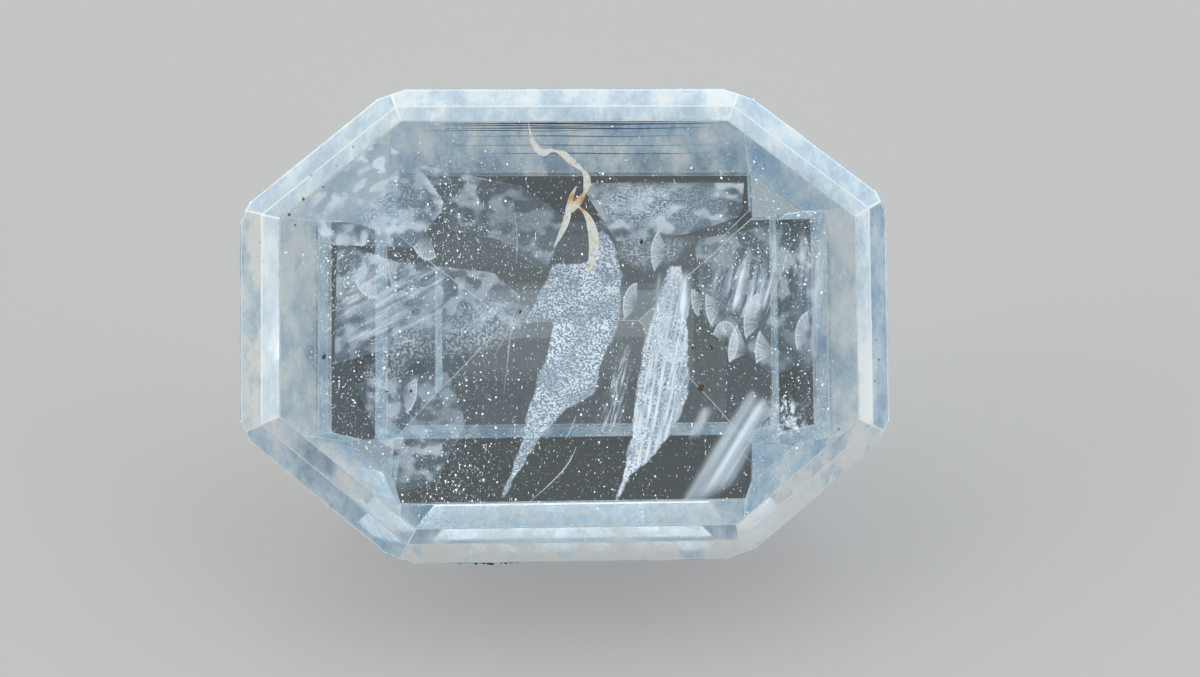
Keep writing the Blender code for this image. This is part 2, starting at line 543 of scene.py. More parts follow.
# %% Sheets inside the stone
GIRDLE_DEPTH = 0.9  # mm, just past the lower edge of the girdle
FACETS = BVHTree.FromPolygons(
    [vertex.co.copy() for vertex in stone_solid.data.vertices],
    [tuple(face.vertices) for face in stone_solid.data.polygons],
)


def depth_under(right, up):
    """How far the stone reaches down below a point of the table, in mm."""
    hit = FACETS.ray_cast(inside(right, up, GIRDLE_DEPTH), -OUT)
    return GIRDLE_DEPTH + hit[3] / MM if hit[0] else GIRDLE_DEPTH


def closest_on(point, a, b):
    """The point between a and b that is nearest to a point."""
    along = (b - a).normalized()
    share = max(0.0, min((point - a).dot(along), (b - a).length))
    return a + along * share


def nearest_on(point, outline):
    """The point of an outline that is nearest to a point of the table."""
    sides = zip(outline, outline[1:] + outline[:1])
    found = [closest_on(Vector(point), Vector(a), Vector(b)) for a, b in sides]
    return min(found, key=lambda place: (place - Vector(point)).length)


def distance_inside(point, outline):
    """How far a point of the table is inside an outline, in mm, below zero if it is outside."""
    nearest = (nearest_on(point, outline) - Vector(point)).length
    crossings = sum(
        (a[1] > point[1]) != (b[1] > point[1])
        and point[0] < (b[0] - a[0]) * (point[1] - a[1]) / (b[1] - a[1]) + a[0]
        for a, b in zip(outline, outline[1:] + outline[:1])
    )
    return nearest if crossings % 2 else -nearest


def keep_number(piece, name, values):
    """Stores one number for each point of the piece, for its material to read."""
    attribute = piece.data.attributes.new(name, "FLOAT", "POINT")
    attribute.data.foreach_set("value", values)


def lay_sheet(name, outline, depth, cell=0.06):
    """A sheet with this outline, in mm on the table. depth(right, up) is in mm below the table."""
    lows = [min(point[axis] for point in outline) for axis in (0, 1)]
    highs = [max(point[axis] for point in outline) for axis in (0, 1)]
    middle = [(low + high) / 2 for low, high in zip(lows, highs)]
    sides = [high - low + 2 * cell for low, high in zip(lows, highs)]
    deselect()
    bpy.ops.mesh.primitive_grid_add(
        x_subdivisions=max(2, round(sides[0] / cell)),
        y_subdivisions=max(2, round(sides[1] / cell)),
        size=1.0,
        location=inside(*middle),
        rotation=STONE_AXES.to_euler(),
    )
    sheet = bpy.context.object
    sheet.name = name
    sheet.scale = (sides[0] * MM, sides[1] * MM, 1.0)
    bpy.ops.object.transform_apply(location=True, rotation=True, scale=True)
    bpy.ops.object.mode_set(mode="EDIT")
    bpy.ops.mesh.select_all(action="DESELECT")
    bpy.ops.mesh.select_mode(type="FACE")
    edit = bmesh.from_edit_mesh(sheet.data)
    for face in edit.faces:
        face.select_set(distance_inside(on_table(face.calc_center_median()), outline) < 0.0)
    bmesh.update_edit_mesh(sheet.data)
    bpy.ops.mesh.delete(type="FACE")
    edit = bmesh.from_edit_mesh(sheet.data)
    border = {vertex.index for vertex in edit.verts if vertex.is_boundary}
    bpy.ops.object.mode_set(mode="OBJECT")
    edges = []
    for vertex in sheet.data.vertices:
        right, up = on_table(vertex.co)
        if vertex.index in border:
            right, up = nearest_on((right, up), outline)
        edges.append(max(0.0, distance_inside((right, up), outline)))
        vertex.co = inside(right, up, depth(right, up))
    keep_number(sheet, "edge", edges)
    solidify = sheet.modifiers.new("thickness", "SOLIDIFY")
    solidify.thickness = SHEET_THICKNESS
    solidify.offset = 0.0
    bpy.ops.object.modifier_apply(modifier=solidify.name)
    bpy.ops.object.mode_set(mode="EDIT")
    bpy.ops.mesh.select_all(action="SELECT")
    bpy.ops.mesh.normals_make_consistent(inside=False)
    bpy.ops.mesh.faces_shade_smooth()
    bpy.ops.object.mode_set(mode="OBJECT")
    # The mirrors of the lower facets leave the sheets out. The heart stays readable that way,
    # and the render is a little shorter.
    sheet.visible_glossy = False
    sheet.visible_diffuse = False
    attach(sheet, "root")
    print(name, "has", len(sheet.data.polygons), "faces")
    return sheet


# %% [markdown]
# Seen close, a feather is a dust of tiny fluid drops: bright grains on a thin haze. Silk is made
# of straight needles. Both come from noise. For silk it is drawn out along the needles.

# %% Grain and silk for the sheets
INCLUSION_PAINTED_GLOW = 0.70  # painted light: how much the sheets, the thread and the cracks inside the stone glow
SHEET_COLOUR = (0.93, 0.96, 1.0, 1.0)
PAINTED_GLOW_BETWEEN_GRAINS = (0.20, 0.26, 0.32, 1.0)
RIM_LINE = (0.03, 0.09)  # mm from the outline where the bright line is full, and where it ends
RAGGED = -0.05  # mm by which the clouds eat into the outline


def build_grain():
    """Bright grains of one size in mm, and slow clouds, over the stone's own places."""
    group, entry, leave = new_group(
        "grain",
        (("Grain Size", "NodeSocketFloat", 0.05), ("Cloud Size", "NodeSocketFloat", 0.8)),
        (("Grain", "NodeSocketFloat"), ("Cloud", "NodeSocketFloat")),
    )
    link = group.links.new
    place = place_group(group, STONE_PLACE)
    for size, result, low, high, detail in (
        ("Grain Size", "Grain", 0.45, 0.59, 1.0),
        ("Cloud Size", "Cloud", 0.38, 0.62, 2.0),
    ):
        noise = add(group, "ShaderNodeTexNoise", {"Detail": detail, "Roughness": 0.6})
        link(place.outputs["Place"], noise.inputs["Vector"])
        link(math_node(group, "DIVIDE", 1.0, entry.outputs[size]), noise.inputs["Scale"])
        steps = add(group, "ShaderNodeMapRange", {"From Min": low, "From Max": high})
        link(noise.outputs["Fac"], steps.inputs["Value"])
        link(steps.outputs["Result"], leave.inputs[result])
    return group


def build_silk():
    """Straight streaks. Direction turns them, in degrees from the stone's length."""
    group, entry, leave = new_group(
        "silk",
        (
            ("Direction", "NodeSocketFloat", 60.0),
            ("Streak Width", "NodeSocketFloat", 0.06),
            ("Streak Length", "NodeSocketFloat", 2.5),
            ("Streak Detail", "NodeSocketFloat", 4.0),
        ),
        (("Streaks", "NodeSocketFloat"),),
    )
    link = group.links.new
    place = place_group(group, STONE_PLACE)
    turn = add(group, "ShaderNodeVectorRotate", rotation_type="Z_AXIS")
    link(place.outputs["Place"], turn.inputs["Vector"])
    link(
        math_node(group, "MULTIPLY", entry.outputs["Direction"], -math.pi / 180),
        turn.inputs["Angle"],
    )
    split = add(group, "ShaderNodeSeparateXYZ")
    link(turn.outputs["Vector"], split.inputs[0])
    drawn = add(group, "ShaderNodeCombineXYZ")
    link(
        math_node(group, "DIVIDE", split.outputs["X"], entry.outputs["Streak Length"]),
        drawn.inputs["X"],
    )
    link(
        math_node(group, "DIVIDE", split.outputs["Y"], entry.outputs["Streak Width"]),
        drawn.inputs["Y"],
    )
    noise = add(group, "ShaderNodeTexNoise", {"Scale": 1.0, "Roughness": 0.65})
    link(drawn.outputs["Vector"], noise.inputs["Vector"])
    link(entry.outputs["Streak Detail"], noise.inputs["Detail"])
    steps = add(group, "ShaderNodeMapRange", {"From Min": 0.42, "From Max": 0.66})
    link(noise.outputs["Fac"], steps.inputs["Value"])
    link(steps.outputs["Result"], leave.inputs["Streaks"])
    return group


GRAIN = build_grain()
SILK = build_silk()
def sheet_material(
    name, haze, bright, soft_edge, rim=0.0, colour=SHEET_COLOUR, grain=None, silk=None
):
    """A see-through finish for a sheet.

    haze and bright are its opacity between the grains and on them. It thins out over soft_edge mm.
    grain and silk hold the values of those groups. rim adds a bright line along the outline of a
    sheet that has grain.
    """
    material, tree, shader = new_material(name)
    link = tree.links.new
    shader.inputs["Roughness"].default_value = 0.45
    shader.inputs["Specular IOR Level"].default_value = 0.3
    marks = []
    if grain:
        grains = place_group(tree, GRAIN, **grain)
        dense = math_node(tree, "MULTIPLY_ADD", grains.outputs["Cloud"], 0.6, 0.4)
        marks.append(math_node(tree, "MULTIPLY", grains.outputs["Grain"], dense))
    if silk:
        marks.append(place_group(tree, SILK, **silk).outputs["Streaks"])
    pattern = marks[0]
    for other in marks[1:]:
        pattern = math_node(tree, "MAXIMUM", pattern, other)
    opacity = add(tree, "ShaderNodeMapRange", {"To Min": haze, "To Max": bright})
    link(pattern, opacity.inputs["Value"])
    edge = add(tree, "ShaderNodeAttribute", attribute_name="edge")
    fade = add(
        tree, "ShaderNodeMapRange", {"From Max": soft_edge}, interpolation_type="SMOOTHSTEP"
    )
    ragged = edge.outputs["Fac"]
    if rim:
        ragged = math_node(tree, "MULTIPLY_ADD", grains.outputs["Cloud"], RAGGED, ragged)
        line = add(
            tree,
            "ShaderNodeMapRange",
            {"From Min": RIM_LINE[1], "From Max": RIM_LINE[0], "To Max": rim},
        )
        link(ragged, line.inputs["Value"])
    link(ragged, fade.inputs["Value"])
    alpha = math_node(tree, "MULTIPLY", opacity.outputs["Result"], fade.outputs["Result"])
    if rim:
        inner = math_node(tree, "MULTIPLY", line.outputs["Result"], fade.outputs["Result"])
        alpha = math_node(tree, "MAXIMUM", alpha, inner)
    link(first_sight(tree, alpha), shader.inputs["Alpha"])
    tone = add(tree, "ShaderNodeMix", data_type="RGBA")
    tone.inputs[6].default_value = (colour[0] * 0.50, colour[1] * 0.60, colour[2] * 0.70, 1.0)
    tone.inputs[7].default_value = colour
    link(pattern, tone.inputs[0])
    link(tone.outputs[2], shader.inputs["Base Color"])
    # Painted light: the sheet glows dimly in dark blue-grey between the grains, and in its own
    # colour on them.
    painted_glow_colour = add(tree, "ShaderNodeMix", data_type="RGBA")
    painted_glow_colour.inputs[6].default_value = PAINTED_GLOW_BETWEEN_GRAINS
    painted_glow_colour.inputs[7].default_value = colour
    link(pattern, painted_glow_colour.inputs[0])
    link(painted_glow_colour.outputs[2], shader.inputs["Emission Color"])
    shader.inputs["Emission Strength"].default_value = INCLUSION_PAINTED_GLOW
    return material


# %% [markdown]
# Two long feathers hang from under the back of the table and taper to the front. They lie deep,
# about three quarters of the way down through the stone.

# %% Feathers
MAIN_LOBE = [
    (0.38, 1.25), (-0.25, 1.20), (-0.45, 0.75), (-0.84, 0.04), (-0.28, 0.10), (-0.42, -0.64),
    (-0.73, -1.51), (-0.89, -2.30), (-1.26, -3.29), (-1.16, -3.30), (-0.47, -2.14), (0.06, -1.56),
    (0.56, -1.28), (0.72, -0.74), (0.98, -0.10), (1.08, 0.37), (1.10, 1.03), (0.95, 1.58),
    (0.65, 1.86),
]
SECOND_LOBE = [
    (1.91, 1.18), (1.67, 0.48), (1.44, -0.31), (1.33, -0.90), (1.19, -2.10), (0.98, -2.98),
    (0.84, -3.35), (0.98, -3.31), (1.26, -2.82), (1.61, -2.52), (1.96, -2.08), (2.14, -1.75),
    (2.35, -1.33), (2.35, -0.31), (2.31, 0.85), (2.20, 1.18),
]


def low_down(share, wave=0.12, clear=0.12):
    """A depth for lay_sheet: this share of the stone's depth there, with a gentle wave."""

    def depth(right, up):
        here = depth_under(right, up)
        ripple = wave * math.sin(1.7 * right + 0.6) * math.cos(1.3 * up)
        return min(max(here * share + ripple, 0.3), here - clear)

    return depth


def build_feathers():
    main = lay_sheet("main_feather", MAIN_LOBE, low_down(0.80))
    main.data.materials.append(
        sheet_material(
            "granular_feather", 0.46, 1.0, 0.05, rim=0.6,
            grain={"grain_size": 0.042, "cloud_size": 0.50},
        )
    )
    second = lay_sheet("second_feather", SECOND_LOBE, low_down(0.74))
    second.data.materials.append(
        sheet_material(
            "streaked_feather", 0.44, 1.0, 0.05, rim=0.5,
            grain={"grain_size": 0.042, "cloud_size": 0.50},
            silk={"direction": 78.0, "streak_width": 0.07, "streak_length": 0.9},
        )
    )


build_feathers()

# %% [markdown]
# Silk is bundles of straight needles. From above they read as curtains of pale blue streaks:
# slanted ones low on the right, upright ones above them and at the right end, short ones between
# the feathers, and a slanted patch by the left end.

# %% Silk curtains
SILK_COLOUR = (0.90, 0.955, 1.0, 1.0)
SILK_SOFT_EDGE = 0.35  # mm
CURTAINS = {
    # name: (outline, share of the depth, haze, bright, streak direction, width, length, detail)
    "silk_low_right": (
        [(3.42, -1.08), (4.05, -1.45), (3.30, -2.95), (2.50, -3.36), (2.02, -3.36), (2.65, -2.25)],
        0.62, 0.16, 1.0, 58.0, 0.34, 9.0, 1.5,
    ),
    "silk_low_middle": (
        [(3.00, -1.45), (2.65, -2.15), (2.20, -2.15), (2.50, -1.45)],
        0.66, 0.15, 1.0, 62.0, 0.45, 4.0, 1.5,
    ),
    "silk_centre": (
        [(0.95, -0.35), (1.30, -0.20), (1.25, -1.00), (1.10, -1.95), (0.55, -2.05), (0.70, -1.30)],
        0.70, 0.05, 0.85, 72.0, 0.05, 0.45, 3.0,
    ),
    "silk_upright_left": (
        [(1.60, 1.05), (2.40, 1.10), (2.45, 0.30), (2.05, -0.25), (1.65, 0.05)],
        0.52, 0.10, 1.0, 84.0, 0.16, 2.0, 2.5,
    ),
    "silk_upright_right": (
        [(2.60, 1.20), (4.15, 1.35), (4.10, 0.60), (3.80, 0.25), (2.75, 0.15)],
        0.50, 0.04, 0.85, 76.0, 0.17, 1.6, 2.5,
    ),
    "silk_right_end": (
        [(4.20, 2.00), (4.90, 1.55), (4.95, -0.60), (4.35, -1.00), (4.18, 0.20)],
        0.72, 0.08, 0.35, 88.0, 0.25, 2.0, 3.0,
    ),
    "silk_left_patch": (
        [
            (-4.28, 1.55), (-2.90, 1.25), (-2.05, 1.18), (-2.20, 0.20), (-2.90, -0.26),
            (-4.35, -0.66),
        ],
        0.60, 0.08, 0.36, 28.0, 0.12, 0.9, 4.0,
    ),
}


def build_silk_curtains():
    for name, values in CURTAINS.items():
        outline, share, haze, bright, direction, width, length, detail = values
        curtain = lay_sheet(name, outline, low_down(share, wave=0.06), cell=0.08)
        curtain.data.materials.append(
            sheet_material(
                name, haze, bright, SILK_SOFT_EDGE,
                colour=SILK_COLOUR,
                silk={
                    "direction": direction,
                    "streak_width": width,
                    "streak_length": length,
                    "streak_detail": detail,
                },
            )
        )


build_silk_curtains()

# %% [markdown]
# Patches low in the stone are dusted with fine grains, like frost on a window.

# %% Frosted patches
FROST_SOFT_EDGE = 0.25  # mm
FROST = {
    # name: (outline, share of the depth, haze, bright, grain size, cloud size)
    "frost_top": (
        [(1.10, 2.75), (3.20, 2.75), (3.10, 2.00), (2.20, 1.68), (0.60, 1.75), (0.62, 2.60)],
        0.90, 0.22, 0.50, 0.040, 1.2,
    ),
    "frost_top_left": (
        [(-4.05, 2.30), (-3.20, 2.95), (-2.45, 2.60), (-2.60, 1.70), (-3.60, 1.40)],
        0.85, 0.08, 0.45, 0.045, 0.6,
    ),
    "frost_low_right": (
        [(3.75, -1.25), (4.50, -1.35), (4.55, -2.05), (3.85, -2.20), (3.60, -1.70)],
        0.80, 0.06, 1.0, 0.11, 0.5,
    ),
    "frost_left": (
        [
            (-2.90, 0.30), (-1.00, 0.65), (-0.60, -0.20), (-1.60, -0.60), (-2.80, -0.70),
            (-3.30, -1.60), (-3.95, -0.90),
        ],
        0.75, 0.08, 0.25, 0.050, 1.0,
    ),
    "haze_centre": (
        [(0.95, 1.75), (2.50, 1.70), (2.10, 1.15), (1.50, 0.95), (0.85, 1.30)],
        0.64, 0.20, 0.50, 0.045, 0.9,
    ),
}


def build_frost():
    for name, values in FROST.items():
        outline, share, haze, bright, grain, cloud = values
        patch = lay_sheet(name, outline, low_down(share, wave=0.03), cell=0.09)
        patch.data.materials.append(
            sheet_material(
                name, haze, bright, FROST_SOFT_EDGE,
                grain={"grain_size": grain, "cloud_size": cloud},
            )
        )


build_frost()

# %% [markdown]
# Through the table the heart shows pale, straight-sided fields between darker ones. Some are
# layers of the crystal that grew a little milkier than their neighbours, others are likely the
# lower facets, mirrored. Faint, even sheets with straight edges stand in for both, so in part
# they are painted reflections.

# %% Growth zones and painted facet reflections
ZONE_COLOUR = (0.82, 0.91, 0.98, 1.0)
ZONE_SOFT_EDGE = 0.02  # mm
ZONES = {
    # name: (outline, share of the depth, haze, bright)
    "zone_left_mist": (
        [
            (-4.90, 2.20), (-3.45, 3.45), (-2.75, 3.05), (-2.20, 2.25), (-2.80, 1.45),
            (-4.40, 1.50),
        ],
        0.62, 0.20, 0.60,
    ),
    "zone_left_field": (
        [
            (-4.25, 1.58), (-3.10, 1.20), (-1.35, 1.02), (-0.62, 0.38), (-0.62, 0.02),
            (-2.60, -0.22), (-4.30, -0.72),
        ],
        0.80, 0.13, 0.32,
    ),
    "zone_top_left": (
        [(-2.90, 3.05), (-0.80, 2.62), (0.10, 1.98), (-0.40, 0.98), (-1.25, 1.62), (-2.15, 1.78)],
        0.84, 0.10, 0.26,
    ),
    "zone_top_right": (
        [(0.25, 2.68), (3.35, 2.68), (3.30, 2.05), (2.30, 1.72), (0.95, 1.58)],
        0.86, 0.12, 0.34,
    ),
    "zone_low_left": (
        [(-3.95, -1.00), (-2.20, -0.85), (-1.85, -1.80), (-2.40, -2.95), (-3.10, -3.10)],
        0.82, 0.10, 0.28,
    ),
    "zone_right_field": (
        [(2.40, 1.62), (4.15, 1.95), (4.70, 0.95), (4.62, -0.60), (3.90, -0.95), (2.60, 0.10)],
        0.84, 0.09, 0.26,
    ),
}


def build_zones_and_facet_reflections():
    for name, (outline, share, haze, bright) in ZONES.items():
        zone = lay_sheet(name, outline, low_down(share, wave=0.0), cell=0.12)
        zone.data.materials.append(
            sheet_material(
                name, haze, bright, ZONE_SOFT_EDGE,
                colour=ZONE_COLOUR,
                grain={"grain_size": 0.35, "cloud_size": 1.5},
            )
        )


build_zones_and_facet_reflections()

# %% [markdown]
# A twisted tube of stained mineral runs down from the back of the table and forks. It is a
# ribbon, so it starts as a curve that carries its own width and twist at each point, and becomes
# a mesh. White where it is clean, it is honey and rust coloured where iron got in.

# %% Stained thread
THREAD_WIDTH = 0.058 * MM
RUST_PLACE = (0.30, 2.36, -0.37)  # where the stain is darkest, in mm from the table's middle
THREAD_RUNS = {
    # name: [(right, up, depth, width share, twist in degrees), ...], in mm from the table's middle
    "thread_main": [
        (-0.67, 3.76, 0.50, 0.15, 0), (-0.62, 3.52, 0.46, 0.8, 30), (-0.54, 3.32, 0.42, 1.2, 70),
        (-0.40, 3.20, 0.40, 1.1, 130), (-0.24, 3.24, 0.40, 0.9, 190), (-0.06, 3.19, 0.38, 1.2, 250),
        (0.12, 3.05, 0.37, 1.2, 310), (0.28, 2.92, 0.36, 1.2, 370), (0.40, 2.76, 0.36, 1.1, 430),
        (0.40, 2.55, 0.36, 1.3, 490), (0.31, 2.36, 0.37, 1.3, 550), (0.20, 2.22, 0.38, 1.1, 610),
        (0.14, 2.10, 0.40, 0.4, 640),
    ],
    "thread_right": [
        (0.14, 2.30, 0.40, 0.5, 0), (0.27, 2.19, 0.42, 0.9, 25), (0.41, 2.04, 0.43, 1.3, 50),
        (0.50, 1.82, 0.44, 1.6, 70), (0.54, 1.58, 0.46, 1.7, 82), (0.53, 1.34, 0.47, 1.5, 92),
        (0.48, 1.12, 0.48, 1.0, 100), (0.42, 0.93, 0.50, 0.2, 105),
    ],
    "thread_left": [
        (0.22, 2.58, 0.38, 0.3, 0), (0.13, 2.40, 0.40, 0.9, 30), (0.08, 2.18, 0.41, 1.1, 50),
        (0.03, 1.94, 0.43, 1.1, 62), (-0.07, 1.70, 0.44, 0.8, 72), (-0.20, 1.45, 0.46, 0.15, 80),
    ],
}


def thread_material():
    material, tree, shader = new_material("stained_thread")
    link = tree.links.new
    shader.inputs["Roughness"].default_value = 0.4
    place = place_group(tree, STONE_PLACE)
    stain = add(tree, "ShaderNodeTexNoise", {"Scale": 6.0, "Detail": 5.0, "Roughness": 0.7})
    link(place.outputs["Place"], stain.inputs["Vector"])
    rust_place = add(tree, "ShaderNodeVectorMath", {1: RUST_PLACE}, operation="DISTANCE")
    link(place.outputs["Place"], rust_place.inputs[0])
    rust = add(tree, "ShaderNodeMapRange", {"From Min": 0.45, "From Max": 0.05, "To Max": 0.20})
    link(rust_place.outputs["Value"], rust.inputs["Value"])
    colour = ramp(
        tree,
        (
            (0.30, (0.22, 0.24, 0.22, 1.0)),
            (0.40, (0.50, 0.54, 0.55, 1.0)),
            (0.50, (0.70, 0.73, 0.72, 1.0)),
            (0.58, (0.62, 0.58, 0.44, 1.0)),
            (0.68, (0.56, 0.38, 0.16, 1.0)),
            (0.84, (0.32, 0.12, 0.03, 1.0)),
        ),
    )
    stained = math_node(tree, "ADD", stain.outputs["Fac"], rust.outputs["Result"])
    link(stained, colour.inputs["Fac"])
    clear = math_node(tree, "MULTIPLY_ADD", stain.outputs["Fac"], 0.9, 0.38, clamp=True)
    link(first_sight(tree, clear), shader.inputs["Alpha"])
    link(colour.outputs["Color"], shader.inputs["Base Color"])
    # Painted light: the thread also glows in its own colours.
    link(colour.outputs["Color"], shader.inputs["Emission Color"])
    shader.inputs["Emission Strength"].default_value = INCLUSION_PAINTED_GLOW
    bumps = add(tree, "ShaderNodeBump", {"Strength": 0.5, "Distance": 0.02 * MM})
    link(stain.outputs["Fac"], bumps.inputs["Height"])
    link(bumps.outputs["Normal"], shader.inputs["Normal"])
    return material


def ribbon(name, points, width, material, thickness=0.35):
    """A twisted ribbon through points, each with its own share of the width and its own twist.

    thickness is how thick the ribbon is, as a share of its width.
    """
    deselect()
    bpy.ops.curve.primitive_nurbs_path_add(location=(0.0, 0.0, 0.0))
    path = bpy.context.object
    path.name = name
    curve = path.data
    curve.dimensions = "3D"
    curve.splines.clear()
    spline = curve.splines.new("BEZIER")
    spline.bezier_points.add(len(points) - 1)
    for knot, (right, up, depth, share, twist) in zip(spline.bezier_points, points):
        knot.co = inside(right, up, depth)
        knot.handle_left_type = knot.handle_right_type = "AUTO"
        knot.radius = share
        knot.tilt = math.radians(twist)
    spline.resolution_u = 8
    curve.twist_mode = "Z_UP"
    curve.extrude = width * (1.0 - thickness)
    curve.bevel_depth = width * thickness
    curve.bevel_resolution = 2
    curve.use_fill_caps = True
    bpy.ops.object.convert(target="MESH")
    bpy.ops.object.mode_set(mode="EDIT")
    bpy.ops.mesh.select_all(action="SELECT")
    bpy.ops.mesh.remove_doubles(threshold=0.0005 * MM)
    bpy.ops.mesh.normals_make_consistent(inside=False)
    bpy.ops.mesh.faces_shade_smooth()
    bpy.ops.object.mode_set(mode="OBJECT")
    path.data.materials.clear()
    path.data.materials.append(material)
    path.visible_glossy = False
    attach(path, "root")


def build_thread():
    stained = thread_material()
    for name, points in THREAD_RUNS.items():
        ribbon(name, points, THREAD_WIDTH, stained)


build_thread()

# %% [markdown]
# Small cracks in sapphire spread in scallops, like the mark of a shell. Each is turned on a
# lathe: a rippled line from the centre outwards is spun part of a turn about the centre. Then it
# is stretched a little, like a petal, turned, and sunk into its own place.

# %% Scalloped cracks
SCALLOP_REACH = 1.0  # the radius on the lathe, in metres
SCALLOP_RINGS = 14
SCALLOP_CUP = 0.16  # how far the rim rises, as a share of the radius
SCALLOP_RIPPLE = 0.018
SCALLOP_RIPPLES = 26.0  # radians of ripple from the centre to the rim
SCALLOP_PETAL = (0.75, 1.25)  # shares of the radius, across and along
RAY_SHIFT = 40.0  # degrees by which the rays of each scallop differ from the last one's
SCALLOPS = (
    # right, up, depth share, radius in mm, first direction and spread in degrees
    (3.66, 0.05, 0.44, 0.46, -150, 110),
    (2.98, -0.30, 0.44, 0.32, -200, 230),
    (3.42, -0.50, 0.42, 0.52, -165, 70),
    (3.90, -0.48, 0.42, 0.50, -160, 60),
    (2.92, 0.42, 0.44, 0.42, -125, 75),
    (3.50, 0.10, 0.46, 0.30, -190, 120),
    (1.35, 0.36, 0.50, 0.36, -150, 120),
    (2.02, -0.18, 0.48, 0.40, -20, 220),
    (2.60, 0.55, 0.48, 0.34, -120, 80),
    (4.55, -0.20, 0.50, 0.38, -150, 110),
    (1.90, 1.35, 0.55, 0.40, -140, 100),
    (-3.55, 1.20, 0.55, 0.55, -80, 70),
    (-2.55, 1.75, 0.60, 0.42, -60, 90),
    (-3.05, -1.15, 0.60, 0.40, 20, 90),
)


def scallop_material():
    material, tree, shader = new_material("scalloped_crack")
    link = tree.links.new
    shader.inputs["Roughness"].default_value = 0.35
    radius = add(tree, "ShaderNodeAttribute", attribute_name="radius")
    turn = add(tree, "ShaderNodeAttribute", attribute_name="turn")
    rays = add(
        tree, "ShaderNodeTexNoise", {"Scale": 0.22, "Detail": 3.0, "Roughness": 0.7},
        noise_dimensions="1D",
    )
    link(turn.outputs["Fac"], rays.inputs["W"])
    ray_steps = add(
        tree,
        "ShaderNodeMapRange",
        {"From Min": 0.40, "From Max": 0.66, "To Min": 0.12, "To Max": 0.50},
    )
    link(rays.outputs["Fac"], ray_steps.inputs["Value"])
    outwards = add(tree, "ShaderNodeMapRange", {"From Min": 0.15, "From Max": 0.75})
    link(radius.outputs["Fac"], outwards.inputs["Value"])
    haze = math_node(tree, "MULTIPLY", ray_steps.outputs["Result"], outwards.outputs["Result"])
    lip = add(tree, "ShaderNodeMapRange", {"From Min": 0.84, "From Max": 0.98, "To Max": 1.2})
    link(radius.outputs["Fac"], lip.inputs["Value"])
    broken_lip = math_node(tree, "MULTIPLY", lip.outputs["Result"], rays.outputs["Fac"])
    marks = math_node(tree, "MAXIMUM", haze, broken_lip)
    link(first_sight(tree, marks), shader.inputs["Alpha"])
    tone = add(tree, "ShaderNodeMix", data_type="RGBA")
    tone.inputs[6].default_value = (0.62, 0.70, 0.80, 1.0)
    tone.inputs[7].default_value = (0.95, 0.97, 1.0, 1.0)
    link(ray_steps.outputs["Result"], tone.inputs[0])
    link(tone.outputs[2], shader.inputs["Base Color"])
    # Painted light: the cracks also glow in their own tone.
    link(tone.outputs[2], shader.inputs["Emission Color"])
    shader.inputs["Emission Strength"].default_value = INCLUSION_PAINTED_GLOW
    return material


def lathe_scallop(name, spread):
    """A rippled shell of radius 1 about the origin, spread this many degrees, in metres."""
    deselect()
    bpy.ops.mesh.primitive_plane_add(size=SCALLOP_REACH, location=(SCALLOP_REACH / 2, 0.0, 0.0))
    shell = bpy.context.object
    shell.name = name
    bpy.ops.object.transform_apply(location=True)
    bpy.ops.object.mode_set(mode="EDIT")
    bpy.ops.mesh.select_mode(type="VERT")
    edit = bmesh.from_edit_mesh(shell.data)
    for vertex in edit.verts:
        vertex.select_set(vertex.co.y > 0.0)
    edit.select_flush(False)
    bmesh.update_edit_mesh(shell.data)
    bpy.ops.mesh.delete(type="VERT")
    bpy.ops.mesh.select_all(action="SELECT")
    bpy.ops.transform.translate(value=(0.0, 0.5 * SCALLOP_REACH, 0.0))
    bpy.ops.mesh.subdivide(number_cuts=SCALLOP_RINGS)
    edit = bmesh.from_edit_mesh(shell.data)
    for vertex in edit.verts:
        share = vertex.co.x / SCALLOP_REACH
        ripple = SCALLOP_RIPPLE * math.sin(share * SCALLOP_RIPPLES)
        vertex.co.z = SCALLOP_CUP * share * share + ripple
    bmesh.update_edit_mesh(shell.data)
    bpy.ops.mesh.spin(
        steps=max(8, round(spread / 6)),
        angle=math.radians(spread),
        center=(0, 0, 0),
        axis=(0, 0, 1),
    )
    bpy.ops.mesh.select_all(action="SELECT")
    bpy.ops.mesh.remove_doubles(threshold=0.0005)
    bpy.ops.mesh.normals_make_consistent(inside=False)
    bpy.ops.mesh.faces_shade_smooth()
    bpy.ops.object.mode_set(mode="OBJECT")
    return shell


def build_scallops():
    finish = scallop_material()
    for number, (right, up, share, radius, first, spread) in enumerate(SCALLOPS, start=1):
        shell = lathe_scallop(f"scallop_{number:02d}", spread)
        flat = [vertex.co.copy() for vertex in shell.data.vertices]
        keep_number(shell, "radius", [point.xy.length / SCALLOP_REACH for point in flat])
        keep_number(
            shell, "turn",
            [math.degrees(math.atan2(point.y, point.x)) + RAY_SHIFT * number for point in flat],
        )
        here = depth_under(right, up) * share
        place = Matrix.Translation(inside(right, up, here)) @ STONE_AXES
        turned = Matrix.Rotation(math.radians(first), 4, "Z")
        across, along = (share_of * radius * MM for share_of in SCALLOP_PETAL)
        petal = Matrix.Diagonal((across, along, radius * MM, 1.0))
        shell.data.transform(place @ petal @ turned)
        thickness = shell.modifiers.new("thickness", "SOLIDIFY")
        thickness.thickness = SHEET_THICKNESS
        take(shell)
        bpy.ops.object.modifier_apply(modifier=thickness.name)
        shell.data.materials.append(finish)
        shell.visible_diffuse = False
        shell.visible_glossy = False
        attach(shell, "root")


build_scallops()

# %% [markdown]
# The whole stone is peppered with pinpoints: crystals of a hundredth of a millimetre or two. One
# is modelled, and thousands of copies are scattered at their own place, size and turn, then
# joined into a single mesh. All of them glow a little, as painted light. A few are larger and
# glow strongly, as painted glints, and read as sparks.

